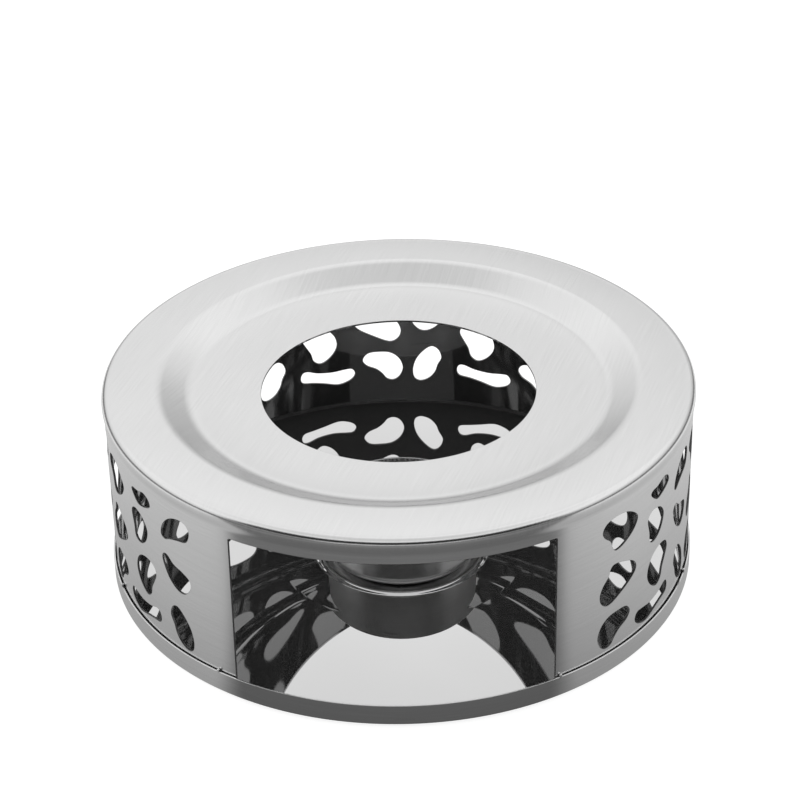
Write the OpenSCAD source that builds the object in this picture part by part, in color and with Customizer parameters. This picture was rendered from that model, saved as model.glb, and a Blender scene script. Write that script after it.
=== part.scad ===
// Teapot warmer in stainless sheet: a drawn shell with a stepped rest for the pot,
// a pressed base tray that wraps the shell's foot, and a loose cup for the candle.
// Millimetres, +Z up. The origin is the middle of the footprint, on the table.
// The front window faces -Y. Angles run from -Y towards +X.

/* [Shell] */
// Outside diameter of the shell's wall
shell_d = 155; // [145:0.5:165]
// Height from the table to the top of the rim
height = 55.5; // [50:0.5:64]
// Thickness of the sheet of the shell and the tray
sheet_t = 0.6; // [0.5:0.1:0.8]
// Outside radius of the bend between wall and rim
rim_bend_r = 1.8; // [1.2:0.1:3]

/* [Pot rest] */
// Diameter at which the flat rim ends and the step down begins
rim_inner_d = 128.2; // [122:0.2:132]
// Diameter at which the step ends and the plateau begins
plateau_d = 110; // [100:0.5:114]
// Depth of the step below the rim
step_depth = 3.6; // [2:0.1:5]
// Further fall of the plateau from the step to the hole
plateau_fall = 0.8; // [0:0.1:1.5]
// Share of the step that its two bends take; at 1 no straight slope is left between
step_round = 0.89; // [0.5:0.01:0.98]
// The upper bend's share of the two bends' radii
step_upper = 0.68; // [0.4:0.01:0.8]
// Diameter of the hole above the flame
hole_d = 72.8; // [60:0.2:80]

/* [Front window] */
// Angle that the window takes out of the wall
window_angle = 62.1; // [50:0.1:70]
// Solid band of wall above the window
window_head = 7.1; // [5:0.1:12]
// How far the wall's foot ring stands up behind the tray's flange
foot_ring = 2; // [1.2:0.1:3]

/* [Pierced wall] */
// Angle of plain wall between the window's edge and the first repeat
plain_angle = 8.9; // [6:0.1:15]
// How many times the pattern repeats round the wall
repeats = 8; // [6:1:9]
// Height of the lowest hole above the table
pierce_z = 7.6; // [7.2:0.1:10]
// Solid band of wall above the highest hole
pierce_head = 7.8; // [5:0.1:10]

/* [Base tray] */
// Height of the flange's edge above the table
flange_h = 6.4; // [5.4:0.1:6.8]
// Gap between the shell's wall and the flange round it
flange_gap = 0.15; // [0.1:0.05:0.25]
// Outside radius of the bend between floor and flange
tray_bend_r = 1.4; // [1.2:0.1:1.6]
// How far the floor climbs from its standing ring to the bend
floor_climb = 0.1; // [0.1:0.1:0.8]
// Inner radius of the flat ring that the tray stands on
stand_r = 34.4; // [32:0.2:37]
// Width of that ring
stand_w = 3.6; // [2:0.2:5]
// Height of the floor at the foot of the bead, above the standing ring
floor_crown = 0.4; // [0.2:0.1:0.6]
// Width of the round bead that keeps the cup in place
bead_w = 2.8; // [2:0.1:4]
// Height of the bead
bead_h = 0.8; // [0.4:0.1:1.2]
// Width of each crimp that grips the shell over the flange's edge
crimp_w = 0.8; // [0.6:0.1:1.2]
// Height of a crimp above the flange's edge
crimp_h = 0.6; // [0.4:0.1:0.8]

/* [Candle cup] */
// Outside diameter of the cup
cup_d = 42; // [40:0.5:44]
// Height of the cup
cup_h = 15.6; // [12:0.1:18]
// Thickness of the cup's sheet
cup_t = 0.5; // [0.4:0.1:0.7]
// Outside radius of the bend between the cup's wall and floor
cup_bend_r = 4; // [2:0.1:5]
// Diameter of the raised disc in the cup's floor
cup_disc_d = 31; // [24:0.5:32]
// Height of that disc
cup_disc_h = 0.6; // [0.3:0.1:1]
// Gap between the cup and the bead round it
cup_gap = 0.4; // [0.3:0.1:0.8]

/* [Hidden] */
shell_r = shell_d / 2;
rim_inner_r = rim_inner_d / 2;
plateau_r = plateau_d / 2;
hole_r = hole_d / 2;
cup_r = cup_d / 2;

flange_in_r = shell_r + flange_gap;
flange_r = flange_in_r + sheet_t;
seat_r = cup_r + cup_gap;
bead_r = seat_r + bead_w;
tray_bend_at = [flange_r - tray_bend_r, floor_climb + tray_bend_r];

// The wall's foot dips a little into the tray's bend and stays just clear of it.
foot_dip = 0.2;
foot_z = tray_bend_at.y - foot_dip;
window_z0 = foot_z + foot_ring;
window_z1 = height - window_head;

// Radii and angle of the step's two bends, which a straight slope joins.
step_w = rim_inner_r - plateau_r;
step_radii = step_round * (step_w * step_w + step_depth * step_depth) / (2 * step_depth);
step_upper_r = step_upper * step_radii;
step_lower_r = step_radii - step_upper_r;
step_rise = step_radii - step_depth;
step_angle = asin(step_radii / norm([step_w, step_rise])) - atan2(step_rise, step_w);

bend_steps = 8;
wave_steps = 10;
outline_steps = 2;
punch_over = 1;
crimp_inset = 0.02;
crimp_angles = [-35, 32, 75, 118, 161, 204, 247, 290];

// One repeat of the pattern, drawn on a flat cell of 47.4 by 40.1 mm from its lower
// left corner. Each outline is a closed smooth curve through a few points.
cell = [47.4, 40.1];
pebble_high = [[2.2, 36.4], [3.6, 38.4], [7, 39.2], [10.6, 38.8], [14, 36.9], [15.4, 34.7],
    [13.6, 31.9], [10.2, 29.8], [7.4, 29.1], [6, 30.1], [5, 32.7], [3, 34.5]];
pebble_mid = [[1.7, 17.1], [2.6, 19.8], [4.7, 22.2], [5.4, 24.2], [6.9, 25], [10.5, 24.1],
    [14, 22.4], [15.4, 20.1], [14, 18], [10, 15.6], [5.2, 13.5], [2.6, 14.6]];
kidney_low = [[1.3, 4.6], [2.4, 7.7], [5, 9.7], [8.5, 10.1], [11.7, 9.7], [13.2, 7.6],
    [12, 5.6], [9.2, 4.2], [7.4, 2.6], [6, 0.8], [4, 0.4], [2.2, 1.8]];
chip_high = [[21.4, 38.2], [22.3, 39], [24.8, 39.2], [27.9, 40.1], [30.2, 39.3], [30.9, 37.7],
    [29.6, 36.6], [26.8, 35.6], [24.6, 35.4], [22.6, 36.7]];
drop_mid = [[20.3, 30.6], [21.3, 32.4], [23.6, 32.9], [26.6, 31.8], [28.5, 29.2], [27.8, 26.1],
    [25.6, 23.8], [23.2, 23.2], [21.5, 24.2], [21.2, 27]];
pear_mid = [[20.9, 14.2], [21.8, 17.1], [24, 19.2], [27.3, 20.1], [30.3, 19.4], [31.4, 17.2],
    [30.3, 14.7], [28.9, 12.2], [28.1, 9.6], [26.1, 8.3], [23.6, 9.4], [21.6, 11.7]];
slot_low = [[15.7, 3.6], [16.6, 5], [18.4, 5.1], [22.5, 4.7], [27, 5.2], [30.2, 6.3],
    [31.8, 6], [32.4, 4.3], [31.6, 2.7], [28.6, 2.1], [25.2, 1.3], [21, 0.2], [17.9, 0.9],
    [16.2, 2.1]];
leaf_high = [[35.4, 32.2], [36.3, 35.2], [38.8, 37.9], [42, 39.3], [45, 39.3], [46.5, 37.2],
    [45.3, 34], [42, 33], [39.2, 32.2], [36.8, 31.2]];
bean_mid = [[35.3, 24.2], [35.8, 26.2], [37.4, 26.4], [39.8, 24.7], [43, 23.8], [45.6, 22.3],
    [45.6, 19.8], [43.4, 17.4], [40.5, 17.5], [37.4, 20]];
egg_low = [[37.1, 8.2], [38, 10.9], [40, 11.9], [42.4, 10.3], [44.6, 7.4], [45.6, 3.9],
    [45.2, 1], [43.4, 0], [40.9, 1], [39.1, 3.2], [38.3, 5.6]];
outlines = [pebble_high, pebble_mid, kidney_low, chip_high, drop_mid, pear_mid, slot_low,
    leaf_high, bean_mid, egg_low];

first_angle = window_angle / 2 + plain_angle;
pitch_angle = (360 - 2 * first_angle) / repeats;
cell_scale = [pitch_angle * PI / 180 * shell_r / cell.x,
    (height - pierce_head - pierce_z) / cell.y];

$fn = 180;

// Points of an arc about c, from angle a0 to a1.
function arc(c, r, a0, a1) =
    [for (i = [0:bend_steps]) let (a = a0 + (a1 - a0) * i / bend_steps)
        c + r * [cos(a), sin(a)]];

// Step from the rim down to the plateau, moved under its own line by off.
function step_line(off) = concat(
    arc([rim_inner_r, height - step_upper_r], step_upper_r - off, 90, 90 + step_angle),
    arc([plateau_r, height - step_depth + step_lower_r], step_lower_r + off,
        step_angle - 90, -90));

// Line of the tray's floor from its middle to the bend: seat, bead, fall to the
// standing ring, then a slow climb.
function floor_line(lift) = concat(
    [[0, lift], [seat_r, lift]],
    [for (i = [1:wave_steps])
        let (u = i / wave_steps)
        [seat_r + bead_w * u, lift + floor_crown * u + bead_h * (1 - cos(360 * u)) / 2]],
    [[stand_r, lift], [stand_r + stand_w, lift]]);

function reversed(p) = [for (i = [len(p) - 1:-1:0]) p[i]];

// Closed smooth curve through the points p, each stretch a cubic that leaves a
// point along the line between its neighbours.
function smooth_point(p, i, u) =
    let (n = len(p), a = p[(i + n - 1) % n], b = p[i], c = p[(i + 1) % n], d = p[(i + 2) % n])
    0.5 * (2 * b + (c - a) * u + (2 * a - 5 * b + 4 * c - d) * u * u
        + (3 * b - a - 3 * c + d) * u * u * u);
function smooth_outline(p) =
    [for (i = [0:len(p) - 1]) for (s = [0:outline_steps - 1]) smooth_point(p, i, s / outline_steps)];
function middle_x(p) = (min([for (q = p) q.x]) + max([for (q = p) q.x])) / 2;

module sheet(outer, inner) {
    rotate_extrude() polygon(concat(outer, reversed(inner)));
}

// One hole of the pattern, punched straight through the wall where it lies.
module punched_hole(outline, first) {
    at = middle_x(outline);
    flat = [for (q = smooth_outline(outline))
        [(q.x - at) * cell_scale.x, pierce_z + q.y * cell_scale.y]];
    rotate([0, 0, first + at / cell.x * pitch_angle])
        translate([0, -(shell_r - sheet_t - punch_over), 0])
            rotate([90, 0, 0])
                linear_extrude(sheet_t + 2 * punch_over) polygon(flat);
}

module window_cut() {
    reach = 2 * shell_r;
    side = window_angle / 2;
    translate([0, 0, window_z0])
        linear_extrude(window_z1 - window_z0)
            polygon([[0, 0], reach * [-sin(side), -cos(side)], reach * [sin(side), -cos(side)]]);
}

module shell() {
    bend_at = [shell_r - rim_bend_r, height - rim_bend_r];
    fall = step_depth + plateau_fall;
    color("silver")
        difference() {
            sheet(
                concat([[shell_r, foot_z]], arc(bend_at, rim_bend_r, 0, 90), step_line(0),
                    [[hole_r, height - fall]]),
                concat([[shell_r - sheet_t, foot_z]], arc(bend_at, rim_bend_r - sheet_t, 0, 90),
                    step_line(sheet_t), [[hole_r, height - fall - sheet_t]]));
            window_cut();
            for (k = [0:repeats - 1])
                for (outline = outlines)
                    punched_hole(outline, first_angle + k * pitch_angle);
        }
}

module crimp(angle) {
    near = shell_r + flange_gap / 2;
    far = flange_r - crimp_inset;
    rotate([0, 0, angle])
        translate([-crimp_w / 2, -far, flange_h - crimp_h])
            cube([crimp_w, far - near, 2 * crimp_h]);
}

module base() {
    color("gainsboro")
        union() {
            sheet(
                concat(floor_line(0), arc(tray_bend_at, tray_bend_r, -90, 0),
                    [[flange_r, flange_h]]),
                concat(floor_line(sheet_t), arc(tray_bend_at, tray_bend_r - sheet_t, -90, 0),
                    [[flange_in_r, flange_h]]));
            for (angle = crimp_angles) crimp(angle);
        }
}

module candle_cup() {
    bend_at = [cup_r - cup_bend_r, cup_bend_r];
    disc_r = cup_disc_d / 2;
    color("lightgray")
        translate([0, 0, sheet_t])
            sheet(
                concat([[0, cup_disc_h], [disc_r - cup_disc_h, cup_disc_h], [disc_r, 0]],
                    arc(bend_at, cup_bend_r, -90, 0), [[cup_r, cup_h]]),
                concat([[0, cup_disc_h + cup_t], [disc_r - cup_disc_h, cup_disc_h + cup_t],
                    [disc_r, cup_t]],
                    arc(bend_at, cup_bend_r - cup_t, -90, 0), [[cup_r - cup_t, cup_h]]));
}

shell();
base();
candle_cup();
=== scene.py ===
import math

import bmesh
import bpy
import numpy as np
from mathutils import Matrix, Vector
from mathutils.geometry import delaunay_2d_cdt


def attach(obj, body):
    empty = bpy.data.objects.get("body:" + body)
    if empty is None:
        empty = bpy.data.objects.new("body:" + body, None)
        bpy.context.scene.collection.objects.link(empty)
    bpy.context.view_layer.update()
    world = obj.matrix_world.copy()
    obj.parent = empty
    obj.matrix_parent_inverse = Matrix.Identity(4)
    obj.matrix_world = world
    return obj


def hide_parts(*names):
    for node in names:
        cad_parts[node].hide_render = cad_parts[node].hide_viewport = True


# Teapot warmer: a pierced shell, the tray that wraps its foot, and a loose candle cup.
# Sizes below are in millimetres and degrees. Angles run from -Y (the window) towards +X.
# Profiles are (places, normals) over radius and height. Materials and the floor are in metres.

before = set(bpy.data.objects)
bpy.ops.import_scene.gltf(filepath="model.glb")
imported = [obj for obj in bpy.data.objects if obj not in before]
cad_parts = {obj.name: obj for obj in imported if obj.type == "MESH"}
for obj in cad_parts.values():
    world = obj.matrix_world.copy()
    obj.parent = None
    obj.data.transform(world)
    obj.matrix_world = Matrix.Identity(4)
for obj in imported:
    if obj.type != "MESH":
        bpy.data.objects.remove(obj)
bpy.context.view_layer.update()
bpy.context.scene.view_settings.view_transform = "Standard"

def linePiece(points):
    # Straight run: each stretch keeps its own normal, turned a quarter to the right of its way.
    p = np.array(points, float)
    d = np.diff(p, axis=0)
    n = np.stack([d[:, 1], -d[:, 0]], 1) / np.linalg.norm(d, axis=1)[:, None]
    return np.repeat(p, 2, 0)[1:-1], np.repeat(n, 2, 0)


def arcPiece(centre, radius, a0, a1, steps, side=1):
    # Arc: centre plus radius times (cos, sin); its normal is the same direction times side.
    a = np.radians(np.linspace(a0, a1, steps + 1))
    d = np.stack([np.cos(a), np.sin(a)], 1)
    return np.array(centre) + radius * d, side * d


def curvePiece(r, z, slope):
    # Height z over radius r, walked inwards; the normal is (slope turned) = (-dz/dr, 1) made unit.
    n = np.stack([-slope, np.ones_like(slope)], 1)
    return np.stack([r, z], 1), n / np.linalg.norm(n, axis=1)[:, None]


def facesDown(slope):
    # Normal below a floor of that slope: (slope, -1) made unit.
    n = np.stack([slope, -np.ones_like(slope)], 1)
    return n / np.linalg.norm(n, axis=1)[:, None]


def joinPieces(*pieces):
    return np.concatenate([p for p, n in pieces]), np.concatenate([n for p, n in pieces])


def revolve(profile, angles):
    # Profile carried once round Z: x = r sin(a), y = -r cos(a), z = z, and its normals too.
    p, n = profile
    a = np.radians(np.asarray(angles, float))
    s, c = np.sin(a)[:, None], np.cos(a)[:, None]
    rows, cols = len(a), len(p)
    place = np.stack([p[:, 0] * s, -p[:, 0] * c, np.broadcast_to(p[:, 1], (rows, cols))], 2)
    normal = np.stack([n[:, 0] * s, -n[:, 0] * c, np.broadcast_to(n[:, 1], (rows, cols))], 2)
    i = np.arange(rows)[:, None]
    j = np.arange(cols - 1)[None, :]
    k = (i + 1) % rows
    quads = np.stack([i * cols + j, k * cols + j, k * cols + j + 1, i * cols + j + 1], 2)
    moves = np.linalg.norm(np.diff(p, axis=0), axis=1) > 1e-6
    quads = quads[:, moves].reshape(-1, 4)
    return place.reshape(-1, 3), normal.reshape(-1, 3), quads


def makeObject(name, patches, weld=2e-7):
    # Patches are (places mm, normals, faces, material number); they are welded where they meet.
    places, normals, faces, kinds, start = [], [], [], [], 0
    for place, normal, face, kind in patches:
        places.append(place)
        normals.append(normal)
        faces += (np.asarray(face) + start).tolist()
        kinds.append(np.full(len(face), kind))
        start += len(place)
    mesh = bpy.data.meshes.new(name)
    mesh.from_pydata((np.concatenate(places) * 0.001).tolist(), [], faces)
    mesh.attributes.new("plainNormal", "FLOAT_VECTOR", "POINT").data.foreach_set(
        "vector", np.concatenate(normals).astype(np.float32).ravel())
    mesh.polygons.foreach_set("material_index", np.concatenate(kinds).astype(np.int32))
    mesh.polygons.foreach_set("use_smooth", np.ones(len(mesh.polygons), bool))
    work = bmesh.new()
    work.from_mesh(mesh)
    bmesh.ops.remove_doubles(work, verts=work.verts, dist=weld)
    work.to_mesh(mesh)
    work.free()
    held = mesh.attributes["plainNormal"]
    flat = np.empty(len(mesh.vertices) * 3, np.float32)
    held.data.foreach_get("vector", flat)
    mesh.attributes.remove(held)
    mesh.normals_split_custom_set_from_vertices(flat.reshape(-1, 3).tolist())
    piece = bpy.data.objects.new(name, mesh)
    bpy.context.scene.collection.objects.link(piece)
    print("made", name, len(mesh.vertices), "points", len(mesh.polygons), "faces")
    return piece


def nodeTree(material):
    material.use_nodes = True
    tree = material.node_tree
    tree.nodes.clear()
    return tree


def addNode(tree, kind, settings=None, inputs=None):
    node = tree.nodes.new(kind)
    for key, value in (settings or {}).items():
        setattr(node, key, value)
    for key, value in (inputs or {}).items():
        if isinstance(value, bpy.types.NodeSocket):
            tree.links.new(value, node.inputs[key])
        else:
            node.inputs[key].default_value = value
    return node


def mathNode(tree, operation, first, second=0.0):
    node = addNode(tree, "ShaderNodeMath", {"operation": operation}, {0: first, 1: second})
    return node.outputs[0]


def spanNode(tree, value, low, high, toLow, toHigh):
    return addNode(tree, "ShaderNodeMapRange", inputs={
        "Value": value, "From Min": low, "From Max": high,
        "To Min": toLow, "To Max": toHigh}).outputs[0]


def smoothShare(tree, value, low, high):
    # Smooth step from 0 at low to 1 at high.
    return addNode(tree, "ShaderNodeMapRange", {"interpolation_type": "SMOOTHSTEP"}, {
        "Value": value, "From Min": low, "From Max": high}).outputs[0]


def brushedLines(tree, place, values):
    # Noise stretched along the brushing. The lines run round Z, but on the top they are
    # straight and aslant: above a given height, which is lower inside the rim, where the
    # plateau lies.
    x, y, z = addNode(tree, "ShaderNodeSeparateXYZ", inputs={0: place}).outputs
    fine, long = values["across"], values["along"]
    reach = mathNode(tree, "SQRT", mathNode(tree, "ADD",
        mathNode(tree, "MULTIPLY", x, x), mathNode(tree, "MULTIPLY", y, y)))
    turned = mathNode(tree, "MULTIPLY", mathNode(tree, "ARCTAN2", x, y), reach)
    around = addNode(tree, "ShaderNodeCombineXYZ", inputs={
        0: mathNode(tree, "MULTIPLY", turned, long), 1: mathNode(tree, "MULTIPLY", reach, fine),
        2: mathNode(tree, "MULTIPLY", z, fine)}).outputs[0]
    aslant = addNode(tree, "ShaderNodeVectorRotate", {"rotation_type": "Z_AXIS"}, {
        "Vector": place, "Angle": math.radians(values["lineTurn"])}).outputs[0]
    across, ahead, _ = addNode(tree, "ShaderNodeSeparateXYZ", inputs={0: aslant}).outputs
    straight = addNode(tree, "ShaderNodeCombineXYZ", inputs={
        0: mathNode(tree, "MULTIPLY", across, fine),
        1: mathNode(tree, "MULTIPLY", ahead, long)}).outputs[0]
    above = mathNode(tree, "GREATER_THAN", z, spanNode(tree, reach, *values["fallSpan"],
        values["straightFrom"] - values["straightFall"], values["straightFrom"]))
    spot = addNode(tree, "ShaderNodeMix", {"data_type": "VECTOR"},
        {0: above, 4: around, 5: straight}).outputs[1]
    return addNode(tree, "ShaderNodeTexNoise", inputs={
        "Vector": spot, "Scale": 1.0, "Detail": 2.0, "Roughness": 0.55}).outputs[0]


def steelMaterial(name, values):
    # Metal whose lines move roughness, tone and bump, under a slow cloud of tone.
    material = bpy.data.materials.new(name)
    tree = nodeTree(material)
    place = addNode(tree, "ShaderNodeTexCoord").outputs["Object"]
    lines = brushedLines(tree, place, values)
    cloud = addNode(tree, "ShaderNodeTexNoise", inputs={
        "Vector": place, "Scale": values["cloudScale"], "Detail": 2.0}).outputs[0]
    lineSpan, cloudSpan = values["lineSpan"], values["cloudSpan"]
    rough = spanNode(tree, lines, *lineSpan, values["rough"] - values["roughSpread"],
        values["rough"] + values["roughSpread"])
    tone = mathNode(tree, "MULTIPLY",
        spanNode(tree, cloud, *cloudSpan, values["tone"] * (1 - values["toneSpread"]),
            values["tone"] * (1 + values["toneSpread"])),
        spanNode(tree, lines, *lineSpan, 1 - values["lineSpread"], 1 + values["lineSpread"]))
    colour = addNode(tree, "ShaderNodeCombineColor", inputs={0: tone, 1: tone, 2: tone})
    bump = addNode(tree, "ShaderNodeBump", inputs={
        "Strength": values["bump"], "Distance": values["bumpDeep"], "Height": lines})
    shader = addNode(tree, "ShaderNodeBsdfPrincipled", inputs={
        "Base Color": colour.outputs[0], "Metallic": values["metallic"], "Roughness": rough,
        "Normal": bump.outputs[0]})
    addNode(tree, "ShaderNodeOutputMaterial", inputs={"Surface": shader.outputs[0]})
    return material


# The spans are the levels between which a noise mostly lies. Over fallSpan, from the plateau
# out to the rim, the height above which the lines are straight climbs by straightFall.
satinValues = {
    "tone": 0.74, "toneSpread": 0.012, "lineSpread": 0.035, "rough": 0.2, "roughSpread": 0.03,
    "metallic": 1.0, "bump": 0.06, "bumpDeep": 0.00002, "along": 60.0, "across": 2600.0,
    "cloudScale": 30.0, "lineSpan": (0.25, 0.75), "cloudSpan": (0.3, 0.7), "lineTurn": 17.0,
    "straightFrom": 0.0523, "straightFall": 0.004, "fallSpan": (0.066, 0.075)}
polishedValues = satinValues | {
    "tone": 0.7, "toneSpread": 0.02, "lineSpread": 0.0, "rough": 0.012, "roughSpread": 0.004,
    "metallic": 0.94, "bump": 0.0, "along": 30.0, "across": 300.0, "cloudScale": 20.0,
    "lineTurn": 0.0, "straightFrom": 1.0, "straightFall": 0.0}
finishes = {
    "satin": steelMaterial("satinSteel", satinValues),
    "cupSatin": steelMaterial("cupSatinSteel", satinValues | {"bump": 0.03, "across": 1600.0,
        "rough": 0.3, "tone": 0.8}),
    "polished": steelMaterial("polishedSteel", polishedValues),
    "inside": steelMaterial("insideSteel", polishedValues | {
        "tone": 0.37, "toneSpread": 0.05, "rough": 0.04, "metallic": 0.88}),
    "cut": steelMaterial("cutEdgeSteel", polishedValues | {
        "tone": 0.2, "rough": 0.3, "roughSpread": 0.05, "metallic": 0.9}),
}

# stepRound is the share of the step that its two bends take, stepUpper the upper bend's share
# of their radii, and tailSlope a rise over a run. The cell is the size that the hole outlines
# are drawn in.
shellSizes = {
    "outerRadius": 77.5, "height": 55.5, "sheet": 0.6, "rimBend": 1.8,
    "rimInner": 64.3, "plateau": 54.3, "stepDepth": 3.6, "hole": 36.4,
    "stepRound": 0.7, "stepUpper": 0.5, "plateauFall": 0.8, "fallPower": 1.5,
    "tailSlope": 0.065, "tailPower": 3, "droopFrom": 66.0, "droop": 0.2,
    "bulge": 0.45, "bulgeFrom": 5.0, "leanPoints": 9, "rimPoints": 9, "plateauPoints": 13,
    "foot": 1.3, "windowAngle": 62.1, "windowLow": 3.3, "windowHigh": 48.4,
    "windowCorner": 0.5, "plainAngle": 8.9, "repeats": 8, "cutRound": 0.12,
    "cellColumns": 24, "frontColumns": 54, "outlineSteps": 4,
    "cell": (47.4, 40.1), "pierceLow": 7.6, "pierceHigh": 47.7,
}

# The ten holes of one repeat, each as points along the wall and up, from the cell's corner.
holeOutlines = [
    [[2.2, 36.4], [3.6, 38.4], [7, 39.2], [10.6, 38.8], [14, 36.9], [15.4, 34.7],
     [13.6, 31.9], [10.2, 29.8], [7.4, 29.1], [6, 30.1], [5, 32.7], [3, 34.5]],
    [[1.7, 17.1], [2.6, 19.8], [4.7, 22.2], [5.4, 24.2], [6.9, 25], [10.5, 24.1],
     [14, 22.4], [15.4, 20.1], [14, 18], [10, 15.6], [5.2, 13.5], [2.6, 14.6]],
    [[1.3, 4.6], [2.4, 7.7], [5, 9.7], [8.5, 10.1], [11.7, 9.7], [13.2, 7.6],
     [12, 5.6], [9.2, 4.2], [7.4, 2.6], [6, 0.8], [4, 0.4], [2.2, 1.8]],
    [[21.4, 38.2], [22.3, 39], [24.8, 39.2], [27.9, 40.1], [30.2, 39.3], [30.9, 37.7],
     [29.6, 36.6], [26.8, 35.6], [24.6, 35.4], [22.6, 36.7]],
    [[20.3, 30.6], [21.3, 32.4], [23.6, 32.9], [26.6, 31.8], [28.5, 29.2], [27.8, 26.1],
     [25.6, 23.8], [23.2, 23.2], [21.5, 24.2], [21.2, 27]],
    [[20.9, 14.2], [21.8, 17.1], [24, 19.2], [27.3, 20.1], [30.3, 19.4], [31.4, 17.2],
     [30.3, 14.7], [28.9, 12.2], [28.1, 9.6], [26.1, 8.3], [23.6, 9.4], [21.6, 11.7]],
    [[15.7, 3.6], [16.6, 5], [18.4, 5.1], [22.5, 4.7], [27, 5.2], [30.2, 6.3], [31.8, 6],
     [32.4, 4.3], [31.6, 2.7], [28.6, 2.1], [25.2, 1.3], [21, 0.2], [17.9, 0.9], [16.2, 2.1]],
    [[35.4, 32.2], [36.3, 35.2], [38.8, 37.9], [42, 39.3], [45, 39.3], [46.5, 37.2],
     [45.3, 34], [42, 33], [39.2, 32.2], [36.8, 31.2]],
    [[35.3, 24.2], [35.8, 26.2], [37.4, 26.4], [39.8, 24.7], [43, 23.8], [45.6, 22.3],
     [45.6, 19.8], [43.4, 17.4], [40.5, 17.5], [37.4, 20]],
    [[37.1, 8.2], [38, 10.9], [40, 11.9], [42.4, 10.3], [44.6, 7.4], [45.6, 3.9],
     [45.2, 1], [43.4, 0], [40.9, 1], [39.1, 3.2], [38.3, 5.6]],
]


def smoothLoop(points, steps):
    # Closed Catmull-Rom curve: each stretch is a cubic that leaves a point along the line
    # between its neighbours.
    p = np.array(points, float)
    a, b, c, d = np.roll(p, 1, 0), p, np.roll(p, -1, 0), np.roll(p, -2, 0)
    u = (np.arange(steps) / steps)[None, :, None]
    a, b, c, d = (q[:, None, :] for q in (a, b, c, d))
    q = 0.5 * (2 * b + (c - a) * u + (2 * a - 5 * b + 4 * c - d) * u**2
        + (3 * b - a - 3 * c + d) * u**3)
    return q.reshape(-1, 2)


def loopTurned(loop):
    # Loop run clockwise, so that its hole lies on the right of each stretch.
    x, y = loop.T
    area = 0.5 * np.sum(x * np.roll(y, -1) - np.roll(x, -1) * y)
    return loop if area < 0 else loop[::-1]


def loopNormals(loop):
    # Unit direction into the hole at each point: mean of the two stretches, turned right.
    d = np.roll(loop, -1, 0) - loop
    d /= np.linalg.norm(d, axis=1)[:, None]
    m = d + np.roll(d, 1, 0)
    m /= np.linalg.norm(m, axis=1)[:, None]
    return np.stack([m[:, 1], -m[:, 0]], 1)


def roundedBox(x0, y0, x1, y1, radius, steps=4):
    corners = [(x1 - radius, y1 - radius, 0), (x0 + radius, y1 - radius, 90),
        (x0 + radius, y0 + radius, 180), (x1 - radius, y0 + radius, 270)]
    runs = [arcPiece((x, y), radius, a, a + 90, steps)[0] for x, y, a in corners]
    return np.concatenate(runs)


def insideLoop(points, loop):
    # Even-odd rule: counts the stretches that a ray towards +x crosses.
    x, y = points[:, 0, None], points[:, 1, None]
    x0, y0 = loop[:, 0][None], loop[:, 1][None]
    x1, y1 = np.roll(loop[:, 0], -1)[None], np.roll(loop[:, 1], -1)[None]
    spans = (y0 > y) != (y1 > y)
    rise = np.where(y1 == y0, 1, y1 - y0)
    return (spans & (x < x0 + (y - y0) * (x1 - x0) / rise)).sum(1) % 2 == 1


def flatPatch(width, columns, low, high, loops):
    # Flat sheet from 0 to width with upright lines every column, less the loops.
    # Returns its points, its triangles and the edges that run round the holes.
    x = np.linspace(0, width, columns + 1)
    points = [np.stack([x, np.full_like(x, low)], 1), np.stack([x, np.full_like(x, high)], 1)]
    n = columns + 1
    edges = [(i, n + i) for i in range(n)]
    edges += [(i, i + 1) for i in range(columns)] + [(n + i, n + i + 1) for i in range(columns)]
    start = 2 * n
    for loop in loops:
        points.append(loop)
        edges += [(start + i, start + (i + 1) % len(loop)) for i in range(len(loop))]
        start += len(loop)
    flat = [Vector(p) for p in np.concatenate(points).tolist()]
    found = delaunay_2d_cdt(flat, edges, [], 0, 1e-6)
    place = np.array([tuple(v) for v in found[0]])
    faces = np.array([f for f in found[2] if len(f) == 3])
    a, b, c = (place[faces[:, i]] for i in range(3))
    area = (b[:, 0] - a[:, 0]) * (c[:, 1] - a[:, 1]) - (b[:, 1] - a[:, 1]) * (c[:, 0] - a[:, 0])
    faces = np.where((area < 0)[:, None], faces[:, ::-1], faces)
    middle = (a + b + c) / 3
    keep = np.abs(area) > 1e-9
    for loop in loops:
        keep &= ~insideLoop(middle, loop)
    faces = faces[keep]
    half = np.concatenate([faces[:, [0, 1]], faces[:, [1, 2]], faces[:, [2, 0]]])
    code, back = half[:, 0] * len(place) + half[:, 1], half[:, 1] * len(place) + half[:, 0]
    rim = half[~np.isin(code, back)]
    mid = (place[rim[:, 0]] + place[rim[:, 1]]) / 2
    outside = (np.abs(mid[:, 0]) < 1e-4) | (np.abs(mid[:, 0] - width) < 1e-4)
    outside |= (np.abs(mid[:, 1] - low) < 1e-4) | (np.abs(mid[:, 1] - high) < 1e-4)
    return place, faces, rim[~outside]


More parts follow.
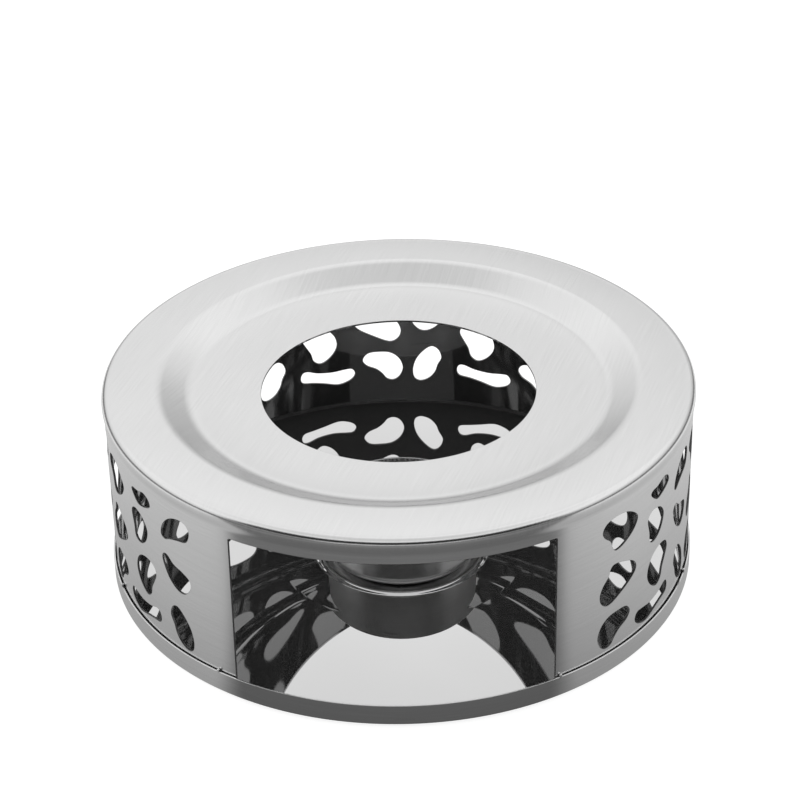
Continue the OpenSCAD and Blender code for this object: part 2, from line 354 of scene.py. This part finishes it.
def bentPatch(flat, radius, thick, roundness, firstAngle):
    # Both faces of the flat patch wrapped on the wall, and the rounded cut edge between them.
    # A point at arc length s, height z and depth d lies at angle first + s / radius.
    place, faces, rim = flat

    def wrap(at, depth, alongPart, upPart, outPart):
        angle = math.radians(firstAngle) + at[:, 0] / radius
        s, c = np.sin(angle), np.cos(angle)
        r = radius - depth
        spot = np.stack([r * s, -r * c, at[:, 1]], 1)
        normal = np.stack([outPart * s + alongPart * c, -outPart * c + alongPart * s,
            upPart * np.ones_like(s)], 1)
        return spot, normal

    still = np.zeros(len(place))
    outer, outerNormal = wrap(place, 0, still, still, still + 1)
    inner, innerNormal = wrap(place, thick, still, still, still - 1)
    patches = [(outer, outerNormal, faces, 0), (inner, innerNormal, faces[:, ::-1], 1)]

    use, rimAt = np.unique(rim, return_inverse=True)
    rimAt = rimAt.reshape(-1, 2)
    way = place[rim[:, 1]] - place[rim[:, 0]]
    way /= np.linalg.norm(way, axis=1)[:, None]
    total = np.zeros((len(use), 2))
    np.add.at(total, rimAt[:, 0], way)
    np.add.at(total, rimAt[:, 1], way)
    total /= np.linalg.norm(total, axis=1)[:, None]
    into = np.stack([total[:, 1], -total[:, 0]], 1)
    turns = np.radians([0, 45, 90])
    rings = [(roundness * math.sin(t), roundness * (1 - math.cos(t)), math.sin(t), math.cos(t))
        for t in turns]
    rings += [(shift, thick - depth, side, -out) for shift, depth, side, out in rings[::-1]]
    spots, normals = [], []
    for shift, depth, side, out in rings:
        spot, normal = wrap(place[use] + into * shift, depth, into[:, 0] * side,
            into[:, 1] * side, np.full(len(use), out))
        spots.append(spot)
        normals.append(normal)
    n = len(use)
    k = np.arange(len(rings) - 1)[:, None] * n
    a, b = rimAt[:, 0][None], rimAt[:, 1][None]
    band = np.stack([k + b, k + a, k + n + a, k + n + b], 2).reshape(-1, 4)
    patches.append((np.concatenate(spots), np.concatenate(normals), band, 2))
    return patches


def wallPatches(v, first, pitch, low, high):
    # One repeat of the pattern, wrapped on the wall again and again, and the window's stretch.
    radius, thick, e = v["outerRadius"], v["sheet"], v["cutRound"]
    cellWide = math.radians(pitch) * radius
    scale = np.array([cellWide / v["cell"][0], (v["pierceHigh"] - v["pierceLow"]) / v["cell"][1]])
    loops = []
    for outline in holeOutlines:
        loop = loopTurned(smoothLoop(outline, v["outlineSteps"]) * scale + [0, v["pierceLow"]])
        loops.append(loop - e * loopNormals(loop))
    flatCell = flatPatch(cellWide, v["cellColumns"], low, high, loops)
    patches = []
    for k in range(v["repeats"]):
        patches += bentPatch(flatCell, radius, thick, e, first + k * pitch)
    frontWide = math.radians(2 * first) * radius
    half = math.radians(v["windowAngle"] / 2) * radius
    window = loopTurned(roundedBox(frontWide / 2 - half, v["windowLow"], frontWide / 2 + half,
        v["windowHigh"], v["windowCorner"]))
    window = window - e * loopNormals(window)
    flatFront = flatPatch(frontWide, v["frontColumns"], low, high, [window])
    return patches + bentPatch(flatFront, radius, thick, e, -first)


def topFace(v, bendR):
    # Upper face, from the outer bend inwards. The rim droops by the square of the way to the
    # bend, the step is two arcs joined by a straight slope, and the plateau falls to the hole.
    height = v["height"]
    rimR = np.linspace(bendR, v["droopFrom"], v["rimPoints"])[1:]
    way = (rimR - v["droopFrom"]) / (bendR - v["droopFrom"])
    rimSlope = -2 * v["droop"] * way / (bendR - v["droopFrom"])
    wide, depth = v["rimInner"] - v["plateau"], v["stepDepth"]
    radii = v["stepRound"] * (wide**2 + depth**2) / (2 * depth)
    upperR = v["stepUpper"] * radii
    lowerR = radii - upperR
    rise = radii - depth
    slope = math.degrees(math.asin(radii / math.hypot(wide, rise)) - math.atan2(rise, wide))
    w = np.linspace(0, 1, v["plateauPoints"])[1:]
    run = v["plateau"] - v["hole"]
    plateauZ = height - depth - v["plateauFall"] * w**v["fallPower"]
    # The plateau is shaded by a lean that is greatest at the step and dies away towards the
    # hole, which its tones ask for.
    plateauSlope = v["tailSlope"] * (1 - w)**v["tailPower"]
    return joinPieces(
        curvePiece(rimR, height - v["droop"] * way**2, rimSlope),
        arcPiece((v["rimInner"], height - upperR), upperR, 90, 90 + slope, 12),
        arcPiece((v["plateau"], height - depth + lowerR), lowerR, slope - 90, -90, 10, side=-1),
        curvePiece(v["plateau"] - run * w, plateauZ, plateauSlope))


def topProfiles(v, high):
    # Outer side from the wall's top over bend, rim and plateau to the rounded hole edge, and
    # inner side from there back to the wall, at the sheet's thickness.
    radius, thick, e = v["outerRadius"], v["sheet"], v["cutRound"]
    bendR, bendZ = radius + v["bulge"] - v["rimBend"], v["height"] - v["rimBend"] - v["droop"]
    bendAt = (bendR, bendZ)
    # Between wall and bend the sheet leans out by a smooth step over height.
    u = np.linspace(0, 1, v["leanPoints"])
    lean = np.stack([radius + v["bulge"] * u**2 * (3 - 2 * u), high + (bendZ - high) * u], 1)
    leanNormal = np.stack([np.ones_like(u), -6 * v["bulge"] * u * (1 - u) / (bendZ - high)], 1)
    leanNormal /= np.linalg.norm(leanNormal, axis=1)[:, None]
    place, normal = topFace(v, bendR)
    edge, up = place[-1], normal[-1]
    turn = math.degrees(math.atan2(up[1], up[0]))
    outside = joinPieces(
        (lean, leanNormal), arcPiece(bendAt, v["rimBend"], 0, 90, 8), (place, normal),
        arcPiece(edge - e * up, e, turn, turn + 90, 3))
    inside = joinPieces(
        (outside[0][-1:], outside[1][-1:]),
        arcPiece(edge - (thick - e) * up, e, turn + 90, turn + 180, 3),
        (place[::-1] - thick * normal[::-1], -normal[::-1]),
        arcPiece(bendAt, v["rimBend"] - thick, 90, 0, 6, side=-1),
        ((lean - [thick, 0])[::-1], -leanNormal[::-1]))
    return outside, inside


def footProfile(v, low):
    # Rounded foot of the wall, from its inner to its outer face.
    radius, thick, e = v["outerRadius"], v["sheet"], v["cutRound"]
    return joinPieces(
        arcPiece((radius - thick + e, low), e, 180, 270, 3),
        arcPiece((radius - e, low), e, 270, 360, 3))


def shellParts(v):
    first = v["windowAngle"] / 2 + v["plainAngle"]
    pitch = (360 - 2 * first) / v["repeats"]
    low, high = v["foot"] + v["cutRound"], v["height"] - v["bulgeFrom"]
    angles = np.concatenate([
        first + pitch * np.arange(v["repeats"] * v["cellColumns"]) / v["cellColumns"],
        360 - first + 2 * first * np.arange(v["frontColumns"]) / v["frontColumns"]])
    outside, inside = topProfiles(v, high)
    return wallPatches(v, first, pitch, low, high) + [
        (*revolve(outside, angles), 0), (*revolve(inside, angles), 1),
        (*revolve(footProfile(v, low), angles), 0)]


shell = makeObject("pierced_shell", shellParts(shellSizes))
for key in ("satin", "inside", "cut"):
    shell.data.materials.append(finishes[key])
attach(shell, "root")
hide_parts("shell")

# Rings of points lie close round the bead and the standing ring: seatNear inside the seat's
# edge, beadNear outside it, standNear on both sides of the ring.
traySizes = {
    "wallInner": 77.65, "sheet": 0.6, "flangeHigh": 6.4, "bend": 1.4, "climb": 0.1,
    "bowl": 1.3, "lipOut": 0.13, "lipHigh": 1.0,
    "seat": 21.4, "beadWide": 2.8, "beadHigh": 0.8, "crown": 0.4, "stand": 34.4,
    "standWide": 3.6, "edgeRound": 0.15, "soften": 0.9, "softenSteps": 21, "columns": 240,
    "seatNear": 1.2, "beadNear": 4.2, "standNear": 1.2, "floorPoints": (6, 73, 12, 49, 24),
    "crimpAngles": (-35, 32, 75, 118, 161, 204, 247, 290),
    "crimpWide": 0.8, "crimpHigh": 0.6, "crimpGrip": 0.1, "crimpInset": 0.03,
    "crimpPower": 6, "crimpPoints": 9,
}
# A slope is measured over this reach to both sides.
slopeReach = 1e-3


def trayFloor(r, v):
    # Height of the floor's lower face over radius: seat, cosine bead on a rising line, fall to
    # the standing ring, flat ring, then a climb by the square of the way to the bend.
    bead = np.clip((r - v["seat"]) / v["beadWide"], 0, 1)
    z = v["beadHigh"] * (1 - np.cos(2 * math.pi * bead)) / 2 + v["crown"] * bead
    foot = v["seat"] + v["beadWide"]
    z = np.where(r > foot, v["crown"] * np.clip((v["stand"] - r) / (v["stand"] - foot), 0, 1), z)
    out = v["stand"] + v["standWide"]
    end = v["wallInner"] + v["sheet"] - v["bend"]
    climb = np.clip((r - out) / (end - out), 0, None)
    return z + v["climb"] * climb**2


def softFloor(r, v):
    # The floor's creases, softened by a mean over a short stretch that is heaviest midway.
    spread = np.linspace(-1, 1, v["softenSteps"])[:, None] * v["soften"] / 2
    weight = 1 - (spread / (v["soften"] / 2))**2 + 1e-3
    weight = weight / weight.sum()
    return (trayFloor(np.abs(r[None] + spread), v) * weight).sum(0)


def trayRadii(v, end):
    seat, out = v["seat"], v["stand"] + v["standWide"]
    stops = (0, seat - v["seatNear"], seat + v["beadNear"], v["stand"] - v["standNear"],
        out + v["standNear"], end)
    return np.unique(np.concatenate([
        np.linspace(a, b, n) for a, b, n in zip(stops, stops[1:], v["floorPoints"])]))


def trayParts(v):
    e, thick = v["edgeRound"], v["sheet"]
    inner, outer, high = v["wallInner"], v["wallInner"] + thick, v["flangeHigh"]
    end, out = outer - v["bend"], v["stand"] + v["standWide"]
    r = trayRadii(v, end)
    slope = (softFloor(r + slopeReach, v) - softFloor(r - slopeReach, v)) / (2 * slopeReach)
    slope[0] = 0
    lower, downNormal = np.stack([r, softFloor(r, v)], 1), facesDown(slope)
    upper = lower - thick * downNormal
    upper[0, 0] = 0
    # The upper face is shaded as a shallow bowl: outside the standing ring its normals follow
    # a climb by the square of the way up to the height of the bowl.
    way = np.clip((r - out) / (end - out), 0, 1)
    bowlSlope = slope + 2 * (v["bowl"] - v["climb"]) * way / (end - out)
    bendAt = (end, v["climb"] + v["bend"])
    lean = math.degrees(math.atan(slope[-1])) - 90
    under = joinPieces(
        (lower, downNormal), arcPiece(bendAt, v["bend"], lean, 0, 8),
        arcPiece((outer - e, high - e), e, 0, 90, 3),
        arcPiece((inner + v["lipOut"] + e, high - e), e, 90, 180, 3))
    # The flange's inner face leans out towards its edge, which leaves a dark gap at the wall.
    over = joinPieces(
        linePiece([(inner + v["lipOut"], high - e), (inner, high - v["lipHigh"])]),
        arcPiece(bendAt, v["bend"] - thick, 0, lean, 6, side=-1),
        (upper[::-1], -facesDown(bowlSlope)[::-1]))
    angles = np.arange(v["columns"]) * 360 / v["columns"]
    return [(*revolve(under, angles), 0), (*revolve(over, angles), 1)]


def crimpPart(v, angle):
    # Small pillow pressed over the flange's edge: a cube whose points are drawn to the surface
    # where the sum of x, y and z to an even power is 1; the normal has the power less one.
    n, power = v["crimpPoints"], v["crimpPower"]
    t = np.linspace(-1, 1, n)
    a, b = np.meshgrid(t, t, indexing="ij")
    one = np.ones_like(a)
    sides = [np.stack(s, 2).reshape(-1, 3) for s in (
        (one, a, b), (-one, b, a), (b, one, a), (a, -one, b), (a, b, one), (b, a, -one))]
    cube = np.concatenate(sides)
    pillow = cube / (np.sum(np.abs(cube)**power, axis=1)**(1 / power))[:, None]
    size = np.array([v["crimpWide"] / 2, (v["sheet"] + v["crimpGrip"]) / 2, v["crimpHigh"]])
    normal = pillow**(power - 1) / size
    normal /= np.linalg.norm(normal, axis=1)[:, None]
    middle = v["wallInner"] + v["sheet"] / 2 - v["crimpInset"]
    place = pillow * size + [0, -middle, v["flangeHigh"]]
    turn = np.array(Matrix.Rotation(math.radians(angle), 3, "Z"))
    i, j = np.meshgrid(np.arange(n - 1), np.arange(n - 1), indexing="ij")
    quad = np.stack([i * n + j, (i + 1) * n + j, (i + 1) * n + j + 1, i * n + j + 1], 2)
    quads = np.concatenate([quad.reshape(-1, 4) + k * n * n for k in range(len(sides))])
    return place @ turn.T, normal @ turn.T, quads, 0


trayPatches = trayParts(traySizes)
for crimpAngle in traySizes["crimpAngles"]:
    trayPatches.append(crimpPart(traySizes, crimpAngle))
tray = makeObject("base_tray", trayPatches)
for key in ("satin", "polished"):
    tray.data.materials.append(finishes[key])
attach(tray, "root")
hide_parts("base")

cupSizes = {
    "radius": 21.0, "high": 15.6, "sheet": 0.5, "bend": 4.0, "disc": 15.5, "discHigh": 0.6,
    "discEdge": 0.6, "lift": 0.6, "edgeRound": 0.16, "columns": 160,
}


def cupParts(v):
    e, thick = v["edgeRound"], v["sheet"]

    def floorHeight(r):
        # Raised disc with an S-shaped edge.
        u = np.clip((v["disc"] - r) / v["discEdge"], 0, 1)
        return v["discHigh"] * (1 - np.cos(math.pi * u)) / 2

    r = np.unique(np.concatenate([
        np.linspace(0, v["disc"] - v["discEdge"], 6),
        np.linspace(v["disc"] - v["discEdge"], v["disc"], 13),
        np.linspace(v["disc"], v["radius"] - v["bend"], 3)]))
    ahead, behind = floorHeight(r + slopeReach), floorHeight(np.abs(r - slopeReach))
    slope = (ahead - behind) / (2 * slopeReach)
    lower, downNormal = np.stack([r, floorHeight(r) + v["lift"]], 1), facesDown(slope)
    upper = lower - thick * downNormal
    upper[0, 0] = 0
    bendAt = (v["radius"] - v["bend"], v["lift"] + v["bend"])
    top = v["lift"] + v["high"]
    under = joinPieces((lower, downNormal), arcPiece(bendAt, v["bend"], -90, 0, 14),
        arcPiece((v["radius"] - e, top - e), e, 0, 90, 3))
    over = joinPieces(
        arcPiece((v["radius"] - thick + e, top - e), e, 90, 180, 3),
        arcPiece(bendAt, v["bend"] - thick, 0, -90, 12, side=-1),
        (upper[::-1], -downNormal[::-1]))
    seam = joinPieces(arcPiece((v["radius"] - e, top - e), e, 90, 90, 1),
        arcPiece((v["radius"] - thick + e, top - e), e, 90, 90, 1))
    angles = np.arange(v["columns"]) * 360 / v["columns"]
    return [(*revolve(under, angles), 0), (*revolve(seam, angles), 0),
        (*revolve(over, angles), 1)]


candleCup = makeObject("candle_cup_bowl", cupParts(cupSizes))
for key in ("cupSatin", "polished"):
    candleCup.data.materials.append(finishes[key])
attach(candleCup, "root")
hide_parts("candle_cup")

# Tones are what the steel mirrors; the camera itself sees white. Sky ramps run over the sine
# of the height above the horizon. For reflections the floor glows with painted light and shade:
# its tone is a ramp over the angle round the object, where 0 and 1 are the back, 0.25 is the
# left and 0.75 the right, times a ramp over the way from its middle in metres, which is low
# close to the object as a painted shadow. The camera's side is dark, on the floor as painted
# shade.
stageValues = {
    "floorSize": 3.0, "floorLow": -0.0003, "seenFloor": 0.88, "paper": 0.35, "plainFloor": 0.8,
    "paintedFloorTones": [(0.0, 0.7), (0.15, 0.72), (0.3, 0.66), (0.42, 0.6), (0.6, 0.5), (0.7, 0.66),
        (0.85, 0.74), (1.0, 0.7)],
    "floorGlowAndPaintedShadow": [(0.079, 0.66), (0.115, 0.88), (0.15, 1.0), (0.25, 1.4), (0.45, 1.3),
        (0.75, 0.5)],
    "paintedFloorShade": 0.185, "darkLean": 0.445, "darkFrom": 0.041, "darkTo": 0.052,
    "leftSky": [(0.0, 0.35), (0.06, 0.5), (0.12, 0.6), (0.23, 0.76), (0.375, 0.89),
        (0.47, 0.955), (0.52, 0.985), (0.57, 1.03), (0.62, 1.09), (0.75, 1.04), (0.875, 0.97),
        (0.946, 0.79), (1.0, 0.74)],
    "rightSky": [(0.0, 0.33), (0.06, 0.47), (0.12, 0.56), (0.23, 0.6), (0.375, 0.7),
        (0.47, 0.9), (0.52, 0.925), (0.57, 0.99), (0.62, 1.07), (0.75, 1.09), (0.875, 1.0),
        (0.95, 0.82), (1.0, 0.74)],
    "lowSides": 0.2, "sideFrom": 0.4, "sideTo": 0.55, "lowFrom": 0.15, "lowTo": 0.3,
    "sideBlend": 0.15, "darkSky": 0.02, "frontFrom": 0.40, "frontTo": 0.50,
    "frontHigh": 0.72, "frontHighTo": 0.84, "frontLow": 0.2, "frontLowTo": 0.33,
}


def toneRamp(tree, factor, tones):
    ramp = addNode(tree, "ShaderNodeValToRGB", inputs={0: factor})
    stops = ramp.color_ramp.elements
    while len(stops) < len(tones):
        stops.new(0.5)
    for stop, (at, tone) in zip(stops, tones):
        stop.position = at
        stop.color = (tone, tone, tone, 1)
    return ramp.outputs[0]


def mixTones(tree, share, first, second):
    return addNode(tree, "ShaderNodeMix", {"data_type": "RGBA"},
        {0: share, 6: first, 7: second}).outputs[2]


def greyTone(tone):
    return (tone, tone, tone, 1)


def makeFloor(v):
    half, z = v["floorSize"], v["floorLow"]
    mesh = bpy.data.meshes.new("floor")
    mesh.from_pydata([(-half, -half, z), (half, -half, z), (half, half, z), (-half, half, z)],
        [], [(0, 1, 2, 3)])
    floor = bpy.data.objects.new("floor", mesh)
    bpy.context.scene.collection.objects.link(floor)
    material = bpy.data.materials.new("paperFloor")
    tree = nodeTree(material)
    place = addNode(tree, "ShaderNodeTexCoord").outputs["Object"]
    axes = addNode(tree, "ShaderNodeSeparateXYZ", inputs={0: place}).outputs
    front = mathNode(tree, "MULTIPLY", axes[1], -1.0)
    turn = mathNode(tree, "ARCTAN2", axes[0], front)
    share = spanNode(tree, turn, -math.pi, math.pi, 0.0, 1.0)
    away = addNode(tree, "ShaderNodeVectorMath", {"operation": "LENGTH"}, {0: place})
    # Painted shadow and light: the glow is weakest close to the object, where its shadow falls,
    # strongest a little way out and fading far off.
    near = toneRamp(tree, away.outputs["Value"], v["floorGlowAndPaintedShadow"])
    # The dark part, painted shade, lies in front of two lines that lean back from the window's
    # edges.
    lean = mathNode(tree, "MULTIPLY", mathNode(tree, "ABSOLUTE", axes[0]), v["darkLean"])
    dark = smoothShare(tree, mathNode(tree, "SUBTRACT", front, lean), v["darkFrom"], v["darkTo"])
    tone = mixTones(tree, dark, toneRamp(tree, share, v["paintedFloorTones"]), greyTone(v["paintedFloorShade"]))
    # Seen only in reflections, the floor glows with this painted light and shade.
    paintedFloorGlow = addNode(tree, "ShaderNodeEmission", inputs={"Color": tone, "Strength": near})
    path = addNode(tree, "ShaderNodeLightPath").outputs
    white = addNode(tree, "ShaderNodeEmission", inputs={
        "Color": greyTone(1.0), "Strength": v["seenFloor"]})
    paper = addNode(tree, "ShaderNodeBsdfDiffuse", inputs={"Color": greyTone(v["paper"])})
    plain = addNode(tree, "ShaderNodeBsdfDiffuse", inputs={"Color": greyTone(v["plainFloor"])})
    seen = addNode(tree, "ShaderNodeAddShader")
    forGloss = addNode(tree, "ShaderNodeMixShader", inputs={0: path["Is Glossy Ray"]})
    forCamera = addNode(tree, "ShaderNodeMixShader", inputs={0: path["Is Camera Ray"]})
    for target, first, sources in (
            (seen, 0, (white, paper)), (forGloss, 1, (plain, paintedFloorGlow)),
            (forCamera, 1, (forGloss, seen))):
        for k, source in enumerate(sources):
            tree.links.new(source.outputs[0], target.inputs[first + k])
    addNode(tree, "ShaderNodeOutputMaterial", inputs={"Surface": forCamera.outputs[0]})
    material.cycles.emission_sampling = "NONE"
    mesh.materials.append(material)


def makeWorld(v):
    world = bpy.data.worlds.new("studio")
    bpy.context.scene.world = world
    world.use_nodes = True
    tree = world.node_tree
    tree.nodes.clear()
    way = addNode(tree, "ShaderNodeTexCoord").outputs["Generated"]
    axes = addNode(tree, "ShaderNodeSeparateXYZ", inputs={0: way}).outputs
    right = smoothShare(tree, axes[0], -v["sideBlend"], v["sideBlend"])
    bright = mixTones(tree, right, toneRamp(tree, axes[2], v["leftSky"]),
        toneRamp(tree, axes[2], v["rightSky"]))
    # The low sky is dark at both sides.
    side = smoothShare(tree, mathNode(tree, "ABSOLUTE", axes[0]), v["sideFrom"], v["sideTo"])
    high = smoothShare(tree, axes[2], v["lowFrom"], v["lowTo"])
    lowSide = mathNode(tree, "MULTIPLY", side, mathNode(tree, "SUBTRACT", 1.0, high))
    bright = mixTones(tree, lowSide, bright, greyTone(v["lowSides"]))
    # Dark where the way points to the camera's side, seen from above, but for the zenith and
    # for a low strip over the horizon.
    flat = mathNode(tree, "SQRT", mathNode(tree, "ADD",
        mathNode(tree, "MULTIPLY", axes[0], axes[0]), mathNode(tree, "MULTIPLY", axes[1], axes[1])))
    ahead = mathNode(tree, "DIVIDE", mathNode(tree, "MULTIPLY", axes[1], -1.0), flat)
    front = smoothShare(tree, ahead, v["frontFrom"], v["frontTo"])
    below = mathNode(tree, "SUBTRACT", 1.0,
        smoothShare(tree, axes[2], v["frontHigh"], v["frontHighTo"]))
    above = smoothShare(tree, axes[2], v["frontLow"], v["frontLowTo"])
    dark = mathNode(tree, "MULTIPLY", front, mathNode(tree, "MULTIPLY", below, above))
    tone = mixTones(tree, dark, bright, greyTone(v["darkSky"]))
    sky = addNode(tree, "ShaderNodeBackground", inputs={"Color": tone})
    white = addNode(tree, "ShaderNodeBackground", inputs={"Color": greyTone(1.0)})
    path = addNode(tree, "ShaderNodeLightPath").outputs
    either = addNode(tree, "ShaderNodeMixShader", inputs={0: path["Is Camera Ray"]})
    tree.links.new(sky.outputs[0], either.inputs[1])
    tree.links.new(white.outputs[0], either.inputs[2])
    addNode(tree, "ShaderNodeOutputWorld", inputs={"Surface": either.outputs[0]})


makeWorld(stageValues)
makeFloor(stageValues)
print("stage is set")

cameraValues = {
    "picture": 800, "sensor": 36.0, "near": 0.05, "far": 20.0, "focal": 2555.3,
    "distance": 675.9, "elevation": 31.186, "azimuth": 1.95, "roll": -1.207,
    "target": (0.31, 0.0, 47.35),
}


def makeCamera(v):
    # The camera stands on a circle round its target, level but for a small roll. Its focal
    # length is in points of the picture, as is the picture's width.
    data = bpy.data.cameras.new("view")
    data.sensor_width = v["sensor"]
    data.lens = v["focal"] / v["picture"] * v["sensor"]
    data.clip_start, data.clip_end = v["near"], v["far"]
    camera = bpy.data.objects.new("view", data)
    bpy.context.scene.collection.objects.link(camera)
    tilt = Matrix.Rotation(math.radians(90 - v["elevation"]), 4, "X")
    away = Matrix.Translation((0, 0, v["distance"] * 0.001))
    roll = Matrix.Rotation(math.radians(v["roll"]), 4, "Z")
    target = Matrix.Translation(Vector(v["target"]) * 0.001)
    turn = Matrix.Rotation(math.radians(v["azimuth"]), 4, "Z")
    camera.matrix_world = turn @ target @ tilt @ away @ roll
    bpy.context.scene.camera = camera


makeCamera(cameraValues)
